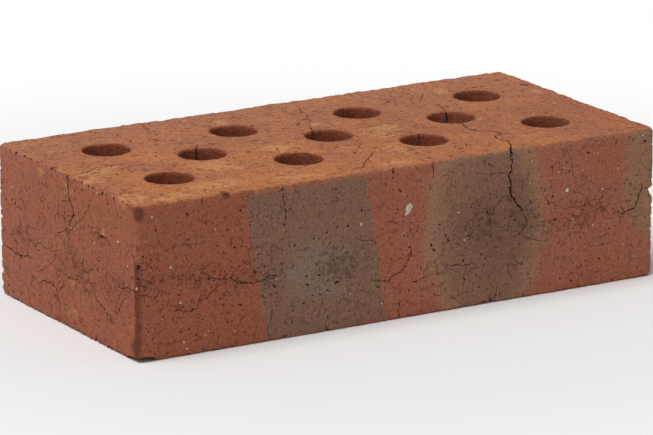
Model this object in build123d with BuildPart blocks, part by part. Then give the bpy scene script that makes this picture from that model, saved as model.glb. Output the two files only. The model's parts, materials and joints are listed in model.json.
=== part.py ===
from build123d import *
import os

# Perforated clay brick of the single format, extruded as a column and cut with wires.
# The column leaves the die along Z, so the die gives the plan section: the long stretcher
# faces, the short header faces, the rounded upright edges and the round perforations.
# The upper and lower bed faces are the wire cuts.
# The origin is the middle of the lower bed, with X along the length and Z up. Millimetres.

# Overall size
LENGTH = 250
WIDTH = 120
HEIGHT = 65

# Edges
UPRIGHT_EDGE_RADIUS = 1.5
BED_EDGE_RADIUS = 1

# Perforations: three rows through the beds, the middle row set half a pitch over
HOLE_DIAMETER = 20
HOLE_MOUTH_RADIUS = 0.8
HOLE_TO_HEADER = 33.5
HOLE_TO_STRETCHER = 33
OUTER_ROW_HOLES = 4
OUTER_ROWS = 2
MIDDLE_ROW_HOLES = OUTER_ROW_HOLES - 1

hole_pitch = (LENGTH - 2 * HOLE_TO_HEADER) / (OUTER_ROW_HOLES - 1)
outer_row_spacing = WIDTH - 2 * HOLE_TO_STRETCHER
hole_radius = HOLE_DIAMETER / 2

with BuildPart() as clay_brick:
    # The die's section
    with BuildSketch() as die_section:
        RectangleRounded(LENGTH, WIDTH, UPRIGHT_EDGE_RADIUS)
        with GridLocations(hole_pitch, outer_row_spacing, OUTER_ROW_HOLES, OUTER_ROWS):
            Circle(hole_radius, mode=Mode.SUBTRACT)
        with GridLocations(hole_pitch, 0, MIDDLE_ROW_HOLES, 1):
            Circle(hole_radius, mode=Mode.SUBTRACT)
    # One cut length of the column
    extrude(amount=HEIGHT)
    # Both beds: the wire softens the outer edge, and the mouths of the holes a little less
    beds = clay_brick.faces().filter_by(Axis.Z)
    outer_edges = ShapeList(edge for bed in beds for edge in bed.outer_wire().edges())
    hole_mouths = beds.edges().filter_by(GeomType.CIRCLE).filter_by(
        lambda edge: edge.is_closed
    )
    fillet(outer_edges, BED_EDGE_RADIUS)
    fillet(hole_mouths, HOLE_MOUTH_RADIUS)

clay_brick.part.label = "clay_brick"
os.makedirs("parts", exist_ok=True)
export_step(clay_brick.part, "parts/clay_brick.step")
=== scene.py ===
import json
import math
import random

import bmesh
import bpy
import numpy as np
from mathutils import Euler, Matrix, Vector


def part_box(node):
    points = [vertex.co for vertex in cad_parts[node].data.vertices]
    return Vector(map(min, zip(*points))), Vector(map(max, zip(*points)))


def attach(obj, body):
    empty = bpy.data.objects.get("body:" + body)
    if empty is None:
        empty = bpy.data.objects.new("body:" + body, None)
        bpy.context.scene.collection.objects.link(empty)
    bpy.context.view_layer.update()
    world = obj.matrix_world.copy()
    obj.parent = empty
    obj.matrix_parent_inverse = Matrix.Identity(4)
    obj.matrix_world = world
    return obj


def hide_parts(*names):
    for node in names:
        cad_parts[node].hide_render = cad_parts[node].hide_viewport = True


# A perforated brick of red clay, extruded, cut with wires and fired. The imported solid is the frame:
# its box and its bores give the sizes here. Lengths are millimetres times MM, so metres.
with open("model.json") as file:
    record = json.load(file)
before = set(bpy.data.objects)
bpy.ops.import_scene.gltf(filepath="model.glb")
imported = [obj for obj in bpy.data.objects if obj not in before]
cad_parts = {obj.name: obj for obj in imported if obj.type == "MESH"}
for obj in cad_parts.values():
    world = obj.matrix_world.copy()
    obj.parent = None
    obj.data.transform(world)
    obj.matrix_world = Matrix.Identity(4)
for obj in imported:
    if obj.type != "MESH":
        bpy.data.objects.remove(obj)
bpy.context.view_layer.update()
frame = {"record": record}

MM = 0.001
LOW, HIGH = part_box("clay_brick")
BRICK_SIZE = HIGH - LOW
LENGTH_MM, WIDTH_MM, HEIGHT_MM = BRICK_SIZE / MM
BORES = {mount["name"]: mount for mount in frame["record"]["mounts"] if mount["kind"] == "bore"}
HOLE_PLACES = {name: Vector(bore["pos_m"]) for name, bore in BORES.items()}
HOLE_RADIUS = BORES["front_hole_1"]["dims"]["r_mm"] * MM

# Edges as the die and the wire leave them, with the steps that round each
UPRIGHT_EDGE = 1.5 * MM
UPRIGHT_EDGE_STEPS = 5
BED_EDGE = 0.7 * MM
BED_EDGE_STEPS = 3
HOLE_MOUTH = 0.8 * MM
HOLE_MOUTH_STEPS = 3
HOLE_SIDES = 64
CORE_LENGTH = 1.2 * BRICK_SIZE.z

# How near a point has to be to count as on a bed, or on the wall of a hole
ON_BED = 0.1 * MM
ON_WALL = 0.2 * MM

# The faces that places are measured on: corner, way along, way up or across, and the way out
FACES = {
    "front": (Vector(LOW), Vector((1, 0, 0)), Vector((0, 0, 1)), Vector((0, -1, 0))),
    "left": (Vector((LOW.x, HIGH.y, LOW.z)), Vector((0, -1, 0)), Vector((0, 0, 1)), Vector((-1, 0, 0))),
    "top": (Vector((LOW.x, LOW.y, HIGH.z)), Vector((1, 0, 0)), Vector((0, 1, 0)), Vector((0, 0, 1))),
    "back": (Vector((HIGH.x, HIGH.y, LOW.z)), Vector((-1, 0, 0)), Vector((0, 0, 1)), Vector((0, 1, 0))),
    "right": (Vector((HIGH.x, LOW.y, LOW.z)), Vector((0, 1, 0)), Vector((0, 0, 1)), Vector((1, 0, 0))),
    "bottom": (Vector((LOW.x, HIGH.y, LOW.z)), Vector((1, 0, 0)), Vector((0, -1, 0)), Vector((0, 0, -1))),
}
FACE_SIZES = {
    "front": (LENGTH_MM, HEIGHT_MM), "back": (LENGTH_MM, HEIGHT_MM),
    "left": (WIDTH_MM, HEIGHT_MM), "right": (WIDTH_MM, HEIGHT_MM),
    "top": (LENGTH_MM, WIDTH_MM), "bottom": (LENGTH_MM, WIDTH_MM),
}
BED_FACES = ("top", "bottom")
SIDE_FACES = ("front", "back", "left", "right")


def on_face(face):
    """The matrix from millimetres along, up and out of a face to the brick's own place."""
    corner, along, up, out = FACES[face]
    turned = Matrix((along, up, out)).transposed().to_4x4()
    return Matrix.Translation(corner) @ turned @ Matrix.Scale(MM, 4)


def on_hole_wall(hole, bearing):
    """The matrix from millimetres round, up and out of a hole's wall at a bearing in degrees."""
    turn = math.radians(bearing)
    spoke = Vector((math.cos(turn), math.sin(turn), 0))
    foot = Vector((HOLE_PLACES[hole].x, HOLE_PLACES[hole].y, LOW.z)) + spoke * HOLE_RADIUS
    turned = Matrix((spoke.cross(Vector((0, 0, 1))), Vector((0, 0, 1)), -spoke)).transposed().to_4x4()
    return Matrix.Translation(foot) @ turned @ Matrix.Scale(MM, 4)


def on_faces(table):
    """The rows of a table by face, each with its face."""
    return [(face, *row) for face, rows in table.items() for row in rows]


def only(piece):
    """Leaves one piece selected and active."""
    bpy.ops.object.select_all(action="DESELECT")
    piece.select_set(True)
    bpy.context.view_layer.objects.active = piece


def modify(piece, kind, **settings):
    """Adds a modifier and applies it."""
    only(piece)
    modifier = piece.modifiers.new(kind.title(), kind)
    for name, value in settings.items():
        setattr(modifier, name, value)
    bpy.ops.object.modifier_apply(modifier=modifier.name)


def joined(pieces, name):
    """Joins pieces to one mesh."""
    bpy.ops.object.select_all(action="DESELECT")
    for piece in pieces:
        piece.select_set(True)
    bpy.context.view_layer.objects.active = pieces[0]
    if len(pieces) > 1:
        bpy.ops.object.join()
    bpy.ops.object.transform_apply(location=True, rotation=True, scale=True)
    whole = bpy.context.object
    whole.name = name
    return whole


def cut(body, tool, operation="DIFFERENCE"):
    """Cuts a piece with a tool, or fuses the tool with it, and clears the tool away."""
    modify(body, "BOOLEAN", object=tool, operation=operation, solver="MANIFOLD")
    bpy.data.objects.remove(tool, do_unlink=True)


def in_material(tool, materials, name):
    """Gives a cutting tool the brick's materials, so that what it cuts shows the named one."""
    tool.data.materials.clear()
    for material in materials:
        tool.data.materials.append(material)
    index = [material.name for material in materials].index(name)
    tool.data.polygons.foreach_set("material_index", [index] * len(tool.data.polygons))
    return tool


def bevel_edges(piece, chosen, radius, segments):
    """Rounds the edges whose two ends pass a test."""
    only(piece)
    bpy.ops.object.mode_set(mode="EDIT")
    bpy.ops.mesh.select_mode(type="EDGE")
    bpy.ops.mesh.select_all(action="DESELECT")
    mesh = bmesh.from_edit_mesh(piece.data)
    for edge in mesh.edges:
        edge.select_set(chosen(edge.verts[0].co, edge.verts[1].co))
    bmesh.update_edit_mesh(piece.data)
    bpy.ops.mesh.bevel(offset=radius, segments=segments, affect="EDGES")
    bpy.ops.object.mode_set(mode="OBJECT")


def is_upright(one, other):
    return abs(one.z - other.z) > BRICK_SIZE.z / 2


def on_a_bed(one, other):
    return all(min(abs(end.z - LOW.z), abs(end.z - HIGH.z)) < ON_BED for end in (one, other))


def at_a_mouth(one, other):
    middle = (one + other) / 2
    reach = min(math.hypot(middle.x - hole.x, middle.y - hole.y) for hole in HOLE_PLACES.values())
    return on_a_bed(one, other) and abs(reach - HOLE_RADIUS) < ON_WALL


# Body

def shape_block(materials):
    """The cut length of the column: a block with rounded edges and the die's holes through it."""
    bpy.ops.object.select_all(action="DESELECT")
    bpy.ops.mesh.primitive_cube_add(size=1, location=(LOW + HIGH) / 2, scale=BRICK_SIZE)
    block = bpy.context.object
    bpy.ops.object.transform_apply(location=True, rotation=True, scale=True)
    block.name = "fired_brick"
    for material in materials:
        block.data.materials.append(material)
    bevel_edges(block, is_upright, UPRIGHT_EDGE, UPRIGHT_EDGE_STEPS)
    bevel_edges(block, on_a_bed, BED_EDGE, BED_EDGE_STEPS)
    cores = []
    for place in HOLE_PLACES.values():
        if not cores:
            bpy.ops.mesh.primitive_cylinder_add(
                vertices=HOLE_SIDES, radius=HOLE_RADIUS, depth=CORE_LENGTH, location=place
            )
            cores.append(bpy.context.object)
            continue
        core = cores[0].copy()
        core.data = cores[0].data.copy()
        core.location = place
        bpy.context.collection.objects.link(core)
        cores.append(core)
    cut(block, in_material(joined(cores, "die_cores"), materials, "fired_red_clay"))
    bevel_edges(block, at_a_mouth, HOLE_MOUTH, HOLE_MOUTH_STEPS)
    return block


# Skin: the size of its mesh after remeshing, and the share of the faces that is kept
SKIN_GRAIN = 0.8 * MM
SKIN_SHARE = 0.135

# Where the relief of the beds and of the worn edges fades out and is full, in millimetres
# from a bed, from a hole's wall and from an edge
BED_FADE = (1.2, 0.4)
MOUTH_FADE = (-2, 4)
EDGE_FADE = (3.5, 0.3)

# Reliefs as (name, size of the pattern, height, level that stays, vertex group, layers of detail)
RELIEFS = (
    ("slump", 60, 0.6, 0.5, "", 1),
    ("lumps", 9, 0.25, 0.5, "", 2),
    ("torn_grain", 4, 0.75, 0.5, "beds", 2),
    ("torn_specks", 1.8, 0.35, 0.5, "beds", 2),
    ("worn_edges", 10, 0.65, 0.62, "edges", 2),
    ("crumbled_edges", 2.4, 0.5, 0.56, "edges", 2),
)


def ease(low, high, value):
    """0 at low, 1 at high and smooth between."""
    share = min(max((value - low) / (high - low), 0), 1)
    return share * share * (3 - 2 * share)


def edge_distance(place):
    """How far a point is from the nearest outer edge: its distance to the second nearest face."""
    gaps = sorted(
        min(abs(value), abs(size - value))
        for value, size in zip(place, (LENGTH_MM, WIDTH_MM, HEIGHT_MM))
    )
    return gaps[1]


def mouth_distance(place):
    """How far a point is from the nearest hole's wall."""
    spot = LOW + place * MM
    reach = min(math.hypot(spot.x - hole.x, spot.y - hole.y) for hole in HOLE_PLACES.values())
    return (reach - HOLE_RADIUS) / MM


def bed_weight(place):
    """1 on the beds, and less at the mouths of the holes, which the cores keep neat."""
    bed = ease(*BED_FADE, min(abs(place.z), abs(HEIGHT_MM - place.z)))
    return bed and bed * ease(*MOUTH_FADE, mouth_distance(place))


def edge_weight(place):
    """1 on the outer edges, and less away from them."""
    return ease(*EDGE_FADE, edge_distance(place))


def weigh(piece, name, weight):
    """Adds a vertex group with a weight worked out from each point's place in millimetres."""
    group = piece.vertex_groups.new(name=name)
    for vertex in piece.data.vertices:
        amount = weight((vertex.co - LOW) / MM)
        if amount > 0:
            group.add([vertex.index], amount, "REPLACE")


def relief(piece, name, size, height, middle, group, layers):
    """Raises and sinks the surface by a cloudy pattern of a given size and height in millimetres."""
    texture = bpy.data.textures.new(name, "CLOUDS")
    texture.noise_scale = size * MM
    texture.noise_depth = layers
    modify(
        piece, "DISPLACE", texture=texture, texture_coords="LOCAL", strength=height * MM,
        mid_level=middle, vertex_group=group,
    )


def roughen(block):
    """Gives the block an even skin with the waves, torn grain and worn edges of fired clay."""
    modify(block, "REMESH", mode="VOXEL", voxel_size=SKIN_GRAIN)
    weigh(block, "beds", bed_weight)
    weigh(block, "edges", edge_weight)
    for values in RELIEFS:
        relief(block, *values)
    modify(block, "DECIMATE", ratio=SKIN_SHARE)
    for vertex in block.data.vertices:
        vertex.co.z = max(vertex.co.z, LOW.z)


# Damage: its places are chosen one by one on the faces, and what lies between is drawn from fixed seeds

DAMAGE_SEED = 23
CRACK_SEED = 11

# Room that marks keep from the edges, in millimetres, and from the walls of the holes
EDGE_ROOM = 2
MOUTH_ROOM = 1.5 * MM

# Ragged cracks: length of a step, sideways stray, run over which an end narrows, what is left of it at
# the tip, share of the width that is open, how that varies, and how far a crack runs past the brick
CRACK_STEP = 1.2
CRACK_STRAY = 0.42
CRACK_TAPER = 3
CRACK_TIP = 0.3
CRACK_OPENING_SHARE = 0.62
CRACK_OPENING_SPREAD = (0.6, 1.25)
CRACK_OVERRUN = 3
# Points of a blade that are nearer than this are one
BLADE_MERGE = 0.001

# Crumbs out of the sides of the wider cracks, in millimetres
CRUMBLED_CRACK_WIDTH = 0.55
CRUMB_ROOM = 2.2
CRUMB_EDGE_ROOM = 1
CRUMB_STRAY = 0.5
CRUMB_HALF = (0.3, 0.6)
CRUMB_HALF_PER_WIDTH = 0.35
CRUMB_FLATNESS = (0.4, 0.7)
CRUMB_DEPTH = 0.6

# Cracks as (width, depth, way), in millimetres along and up the face they are on.
# A way that starts or ends past the face's edge runs out over that edge.
CRACKS = {
    "front": (
        (1.1, 6, ((176.6, 68), (177, 65), (178, 62.5), (177, 61.5), (178.5, 59.5), (177.5, 58),
                  (178, 56.5), (176.5, 54.5), (177.2, 51.5), (177.6, 46), (179.5, 42.5), (181.8, 39.8),
                  (183.5, 37.5))),
        (0.6, 3, ((33, 31.1), (36, 30), (39.8, 29.4), (43.3, 29.2), (45.9, 26.9), (49.8, 26.6),
                  (52.9, 25.5), (55.5, 26.2), (59, 26.6), (62, 27.8), (66, 27.2))),
        (0.55, 3, ((109, 18.6), (113.5, 17.8), (117, 17), (121.5, 19.7), (123.5, 20), (126.5, 23.5),
                   (128.6, 26.8), (128.4, 31))),
        (0.35, 2, ((102.4, 23.9), (105.3, 24.5), (108.8, 25))),
        (0.35, 1.5, ((86.9, 6.8), (87.5, 2.6), (88.4, -2))),
        (0.65, 3, ((229.5, 30.5), (234, 29.7), (240.5, 31), (242, 35), (244, 39), (243, 42.5))),
        (0.45, 2, ((-2, 30), (2.5, 27.8), (5, 27.5), (6.5, 26), (8.5, 26.7), (10.2, 29), (12, 28),
                   (14.5, 29.2))),
        (0.55, 2, ((66.6, 68), (67, 65.6), (67.7, 58.6), (68.6, 53), (68.1, 47.5))),
        (0.6, 2.5, ((119.5, 7), (122.8, 6.8), (123.3, 5.5), (122.5, 3.5), (123.6, -3))),
        (1.0, 2.5, ((119.6, 68), (120, 61))),
        (0.5, 2, ((138.2, 68), (139.3, 62), (139.2, 57))),
        (0.5, 2, ((129.5, 68), (131, 63.5), (133.8, 61.2))),
        (0.45, 2, ((15.3, 19.2), (19.1, 19.7), (22.9, 18.4), (27.1, 18.8), (28.3, 21.8), (31.3, 22.7),
                   (34.8, 25.6), (37.5, 27), (38.6, 27.8))),
        (0.35, 2, ((12.4, 33.1), (16.2, 33.6), (19.2, 33.1), (23, 34.6))),
        (0.4, 2, ((23.8, 31.8), (28.7, 30.7), (31.4, 30.9))),
        (0.35, 2, ((5.7, 43.6), (10.3, 44.4), (12.9, 42.8))),
        (0.5, 2, ((115.5, 42.5), (118, 42.5), (120.3, 41.7), (123, 40.2))),
        (0.4, 2, ((114.3, 38.2), (112, 37), (110, 35.5), (107, 35.8), (102.5, 36.6))),
        (0.5, 2, ((145.5, 19), (150, 19.2), (156, 18.6), (160, 18.8), (160.2, 15.5))),
        (0.4, 2, ((175.3, 17.5), (176.5, 13), (179.3, 8))),
        (0.5, 2, ((170.4, 8.5), (171, 6), (170, 3), (169.8, -3))),
        (0.4, 2, ((182.8, 27.4), (187.2, 25.2), (191, 24), (195.4, 22.7), (198.5, 24.3))),
        (0.4, 2, ((193.8, 42.2), (199.6, 38.1), (204.3, 35.7), (209.6, 35.8), (214.9, 35.8),
                  (218.9, 37.7), (223, 37.7), (224.5, 41.6), (228.9, 41.5), (232.3, 39.3))),
        (0.4, 2, ((221.5, 35.3), (223.5, 34.5), (227, 30))),
        (0.4, 2, ((215.2, 19.2), (220.7, 16.7), (223.3, 17.3), (228.7, 17.9))),
        (0.35, 2, ((236, 16.8), (240.5, 13.7))),
        (0.5, 2, ((202, 12.3), (206.5, 14.5))),
        (0.4, 2, ((204.3, 63.5), (206.5, 59), (207.8, 55), (208.7, 50.6))),
        (0.35, 2, ((211, 43.2), (215, 45.5), (217.5, 46.3), (220.6, 43.6))),
        (0.4, 2, ((38.5, 13.6), (41.6, 11), (43.5, 9.4), (45.4, 7), (47, 4.3))),
        (0.5, 2, ((62.1, 14.9), (61.7, 9.4), (59.8, 5.1), (61, 2.5), (62, -2))),
        (0.5, 2, ((0.3, 39.4), (1.2, 38.9), (3.8, 38.5), (5.3, 40.3), (7.6, 42))),
    ),
    "left": (
        (1.1, 5, ((60.6, 68), (60.8, 65), (62, 62), (62.2, 56), (64, 54), (65.4, 52), (66.8, 49.8),
                  (64, 46.3), (62.6, 43.6))),
        (0.65, 3, ((2, 22.3), (9.5, 21.6), (14.5, 20.6), (20.5, 20.7), (24, 21.8), (31, 22.5))),
        (0.45, 2, ((32.5, 29.3), (37, 30.6), (40.5, 29.2), (46, 30.3), (49.8, 28.4), (53.5, 29))),
        (0.55, 2.5, ((34.5, 12.2), (39.5, 14.8), (46, 15.5), (49.8, 15), (51.8, 11.5), (53.3, 7),
                     (54.3, -3))),
        (0.55, 2, ((59, 23), (62, 21.5), (68, 22.5))),
        (0.45, 2, ((67, 23.4), (70, 24.7), (73.5, 24.5), (75.6, 22.2))),
        (0.55, 2, ((76.2, 23.3), (79, 24.8), (80.2, 24), (82.3, 23.3), (85.6, 18.6), (92.4, 15.5),
                   (97.6, 13.4), (101.1, 10.4))),
        (0.4, 2, ((43, 68), (43, 65), (43.3, 61.5), (43.2, 58), (41.4, 55.3))),
        (0.6, 1.5, ((40.9, 50.6), (40, 49), (38.6, 47.6))),
        (0.35, 1.5, ((18.9, 8.9), (19.8, 4.6), (16.5, 1.5))),
        (0.35, 1.5, ((113.5, 47.1), (109.6, 41.4), (111.7, 36.2))),
        (0.35, 1.5, ((97.3, 32.2), (101, 29.4), (102.4, 28.2))),
        (0.4, 2, ((88, 34.7), (82, 29.9), (74, 26.6))),
        (0.55, 2, ((104.5, 27.8), (110, 29.2), (114, 29.6), (122, 29.4))),
        (0.35, 1.5, ((73.2, 8.5), (73.6, -3))),
        (0.35, 1.5, ((103.4, 8.5), (102.8, -3))),
        (0.35, 1.5, ((71.6, 19.5), (72.4, 10.5))),
    ),
    "top": (
        (0.95, 6, ((176.6, -3), (177.3, 0.3), (181, 5.6), (184.5, 13.2), (182.5, 18), (184.5, 23.8),
                   (187, 23), (189.3, 26.8), (188.5, 29.7), (184.3, 33.5), (181.5, 36.2), (181.5, 41),
                   (183.5, 46.8), (185.3, 51.5), (186, 55))),
        (0.75, 4, ((-3, 59.6), (3, 57), (8, 57.5), (10.5, 59.5), (14.5, 62), (18.5, 61.5), (21.5, 62.3),
                   (25.5, 63.6))),
        (0.65, 4, ((65.5, 65), (66.8, 70), (70.4, 75))),
        (0.65, 3, ((138.3, 106.3), (135.5, 99.8), (135, 94), (133, 89.5))),
        (0.75, 3, ((128.3, 88.2), (124.5, 84.2), (121.5, 80.3))),
        (0.65, 4, ((127, 78.5), (124.3, 73), (122.7, 66))),
        (0.75, 3, ((143.5, 62.8), (147, 63.3), (151, 64))),
        (0.5, 2, ((151.3, 60.5), (153.5, 64.8))),
        (0.5, 2, ((158.5, 63.8), (163, 66.5), (167, 68.8))),
        (0.6, 2, ((177.8, 91.2), (181.3, 98.8))),
        (0.5, 2, ((188.8, 88.8), (190, 91.2), (193, 94.8), (197, 100.5), (200, 104))),
        (0.5, 2, ((194.8, 108.5), (197.2, 113))),
        (0.6, 3, ((188.5, 65), (190.5, 72.5), (192, 78.5), (193.5, 83.5))),
        (0.6, 3, ((107.2, 4.6), (112, 10.6), (116.5, 15.8), (121, 20), (124.5, 24.2), (127.8, 27.6))),
        (0.5, 2, ((123.2, 35.2), (126, 36.8), (130.5, 42.4))),
        (0.9, 1.5, ((2, 22), (4, 20.7), (5.5, 22), (8.3, 20))),
        (0.45, 1.5, ((74.2, 43.6), (78.3, 48.6))),
        (1.2, 1.5, ((165, 14.8), (167, 19.2))),
        (0.4, 1.5, ((67.6, 28.4), (71.4, 33.6))),
        (0.55, 1.5, ((55.2, 90), (58.6, 94.6))),
        (0.6, 1.5, ((234, 62.7), (238.5, 63.6), (241.5, 61.8))),
    ),
}
CRACK_BRANCHES = {
    "front": (
        (0.6, 3, ((183, 38.2), (184.3, 35.5), (185.6, 33), (185.7, 31), (183.5, 29.4), (181.5, 28))),
        (0.4, 2, ((176.9, 54.9), (173, 55.5), (170, 56), (163.5, 56.1))),
        (0.4, 2, ((178, 45), (175.5, 45.8), (173, 44.8), (171, 42.5), (167.5, 41.3))),
        (0.35, 2, ((181, 40.8), (178.5, 38.5), (177, 36), (176.5, 33), (176.6, 28.5))),
        (0.35, 2, ((182.6, 38.6), (185.5, 39.6), (188.3, 40.8), (192.2, 42.6))),
        (0.35, 2, ((204.3, 35.9), (205.8, 38.4), (209.5, 40.2))),
        (0.35, 2, ((39.4, 26.9), (41.6, 23.8), (44.4, 20.3))),
        (0.35, 2, ((37.1, 31.9), (39.8, 33.2), (40.6, 31), (39.9, 29.2))),
        (0.35, 2, ((43.3, 29), (43.8, 31.6), (46.7, 32.2))),
        (0.35, 2, ((1.1, 35.8), (4.9, 33.5), (9.4, 31.1), (10, 28.6))),
        (0.3, 2, ((18, 26.4), (18.7, 22.9), (19.5, 19.4))),
        (0.35, 2, ((45.8, 7.6), (48.2, 12.1), (52, 14.3))),
    ),
    "left": (
        (0.5, 2.5, ((61.8, 40.2), (65.4, 43.6), (68.3, 46), (73.5, 49), (77, 53), (80.5, 55.3))),
        (0.5, 2, ((55.3, 52.8), (58.5, 53.6), (62.4, 54.5))),
        (0.5, 2.5, ((62.8, 44.2), (61.4, 42.4), (57, 40), (54, 39), (49.5, 35.7))),
        (0.65, 2.5, ((51.6, 12.4), (53.7, 14.3), (58.5, 17.8), (58.9, 19.6))),
        (0.3, 1.5, ((62.4, 41), (62, 35), (62.7, 30.5))),
        (0.35, 1.5, ((52, 28), (44.7, 22.7), (38, 19), (31.5, 16.6))),
    ),
}
# Cracks down the walls of holes as (hole, bearing in degrees, width, sideways drift from top to foot)
WALL_CRACKS = (
    ("middle_hole_3", 68, 1.1, -3),
    ("middle_hole_2", 103, 1.0, 0.5),
    ("middle_hole_1", 76, 0.9, -0.5),
    ("front_hole_3", 70, 0.5, 0.3),
    ("back_hole_3", 96, 0.45, 0.4),
)
WALL_CRACK_DEPTH = 3


def jagged(way, draw):
    """Breaks straight runs into short ragged ones, as a crack runs between grains."""
    points = []
    for (a0, b0), (a1, b1) in zip(way, way[1:]):
        run = math.hypot(a1 - a0, b1 - b0)
        steps = max(1, round(run / CRACK_STEP))
        for step in range(steps):
            share = step / steps
            stray = draw.uniform(-CRACK_STRAY, CRACK_STRAY) if step else 0
            points.append((
                a0 + (a1 - a0) * share - (b1 - b0) / run * stray,
                b0 + (b1 - b0) * share + (a1 - a0) / run * stray,
            ))
    return points + [way[-1]]


def crack_blade(placed, width, depth, way, draw):
    """A thin wedge along a crack, for cutting it into a surface."""
    points = jagged(way, draw)
    last = len(points) - 1
    curve = bpy.data.curves.new("crack_blade", "CURVE")
    curve.dimensions = "3D"
    curve.bevel_depth = 1
    curve.bevel_resolution = 0
    curve.use_fill_caps = True
    spline = curve.splines.new("POLY")
    spline.points.add(last)
    for index, (spot, (a, b)) in enumerate(zip(spline.points, points)):
        spot.co = (a, b, 0, 1)
        taper = min(1, (CRACK_TIP + min(index, last - index)) * CRACK_STEP / CRACK_TAPER)
        spot.radius = width / 2 * CRACK_OPENING_SHARE * taper * draw.uniform(*CRACK_OPENING_SPREAD)
    blade = bpy.data.objects.new("crack_blade", curve)
    bpy.context.collection.objects.link(blade)
    only(blade)
    bpy.ops.object.convert(target="MESH")
    blade = bpy.context.object
    bpy.ops.object.mode_set(mode="EDIT")
    bpy.ops.mesh.select_all(action="SELECT")
    bpy.ops.mesh.remove_doubles(threshold=BLADE_MERGE)
    bpy.ops.mesh.normals_make_consistent(inside=False)
    bpy.ops.object.mode_set(mode="OBJECT")
    blade.data.transform(placed @ Matrix.Diagonal((1, 1, 2 * depth / width, 1)))
    return blade


def over_a_hole(face, along, up):
    """Whether a place on a bed is over one of the holes or on its mouth."""
    spot = on_face(face) @ Vector((along, up, 0))
    reach = min(math.hypot(spot.x - hole.x, spot.y - hole.y) for hole in HOLE_PLACES.values())
    return face in BED_FACES and reach < HOLE_RADIUS + MOUTH_ROOM


def on_open_face(face, along, up, room):
    """Whether a place keeps some room from the edges of its face and isn't over a hole."""
    wide, high = FACE_SIZES[face]
    return room < along < wide - room and room < up < high - room and not over_a_hole(face, along, up)


def apart(spots, along, up, room):
    """Whether a place lies further than some room from all of the spots."""
    return all(math.hypot(along - a, up - b) > room for a, b in spots)


def crack_crumbs(draw):
    """Places where the sides of the wider cracks have crumbled away, clear of each other."""
    crumbs = []
    for face, lines in CRACKS.items():
        near = []
        for width, _, way in lines:
            for a, b in jagged(way, draw) if width >= CRUMBLED_CRACK_WIDTH else ():
                a += draw.uniform(-CRUMB_STRAY, CRUMB_STRAY)
                b += draw.uniform(-CRUMB_STRAY, CRUMB_STRAY)
                if on_open_face(face, a, b, CRUMB_EDGE_ROOM) and apart(near, a, b, CRUMB_ROOM):
                    near.append((a, b))
                    half = draw.uniform(*CRUMB_HALF) + CRUMB_HALF_PER_WIDTH * width
                    halves = (half, half * draw.uniform(*CRUMB_FLATNESS), CRUMB_DEPTH)
                    crumbs.append((on_face(face) @ Matrix.Translation((a, b, 0)), halves))
    return crumbs


def crack(brick, materials):
    """Cuts the cracks: those on the faces, then their branches and those down the holes' walls."""
    draw = random.Random(CRACK_SEED)
    lines = [
        [(on_face(face), *line) for face, *line in on_faces(group)]
        for group in (CRACKS, CRACK_BRANCHES)
    ]
    top, foot = HEIGHT_MM + CRACK_OVERRUN, -CRACK_OVERRUN
    lines.append([
        (on_hole_wall(hole, bearing), width, WALL_CRACK_DEPTH, ((0, top), (0, HEIGHT_MM), (drift, foot)))
        for hole, bearing, width, drift in WALL_CRACKS
    ])
    for group in lines:
        blades = joined([crack_blade(*line, draw) for line in group], "crack_blades")
        cut(brick, in_material(blades, materials, "crack_shadow_clay"))
    crumbs = lumps("crumbled_sides", crack_crumbs(draw), draw, 1, True)
    cut(brick, in_material(crumbs, materials, "pit_shadow_clay"))


def without_crumbs(brick):
    """The brick alone, without the crumbs that the cuts have freed."""
    only(brick)
    bpy.ops.object.mode_set(mode="EDIT")
    bpy.ops.mesh.select_all(action="SELECT")
    bpy.ops.mesh.separate(type="LOOSE")
    bpy.ops.object.mode_set(mode="OBJECT")
    pieces = sorted(bpy.context.selected_objects, key=lambda piece: len(piece.data.vertices))
    for crumb in pieces[:-1]:
        bpy.data.objects.remove(crumb, do_unlink=True)
    pieces[-1].name = "fired_brick"
    return pieces[-1]


# Chips as (face, along, up, (half size along, up and out)), in millimetres
LARGE_CHIPS = (
    ("front", -1, -0.6, (13, 3.4, 12)),
)
CHIPS = (
    ("front", 0.2, 62.8, (1.7, 1.3, 1.2)),
    ("left", 117.6, 63, (1.2, 0.9, 0.6)),
    ("front", -0.2, 40.4, (1.5, 1.2, 1.6)),
    ("front", 0.3, 34.8, (1.0, 1.2, 1.3)),
    ("front", 0.2, 14, (1.6, 3.0, 0.9)),
    ("front", 250.6, 37.2, (3.4, 2.6, 4.0)),
    ("front", 250, 42, (1.8, 0.8, 2.6)),
    ("front", 250, 31, (1.8, 1.4, 3.0)),
    ("front", 250, 26, (1.7, 1.1, 2.8)),
    ("front", 250, 20.6, (1.6, 1.3, 3.0)),
    ("front", 250, 15.6, (1.5, 0.9, 2.6)),
    ("front", 250, 10.4, (1.6, 1.2, 2.8)),
    ("front", 250, 57.5, (1.4, 0.8, 2.4)),
    ("front", 41.2, 64.3, (1.3, 1.6, 1.0)),
    ("front", 30, 63.5, (0.6, 1.0, 0.8)),
    ("left", 0, 54.5, (2.6, 0.9, 2.2)),
    ("left", 0, 44.5, (2.5, 1.4, 2.2)),
    ("left", 0, 37, (2.8, 1.0, 2.2)),
    ("left", 0, 33.6, (3.4, 1.6, 2.6)),
    ("left", 0, 28.4, (2.4, 1.2, 2.0)),
    ("left", 0, 22, (2.5, 1.8, 2.2)),
    ("left", 0, 15.5, (2.4, 1.3, 2.0)),
    ("left", 0, 10.4, (2.8, 2.0, 2.4)),
    ("left", 0.6, 4.4, (3.2, 1.8, 2.6)),
    ("left", 92, 46, (3.5, 0.7, 0.6)),
    ("top", 250.5, 73, (1.6, 2.2, 2)),
    ("top", 250.3, 64, (1.0, 2.0, 1.2)),
)
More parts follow.
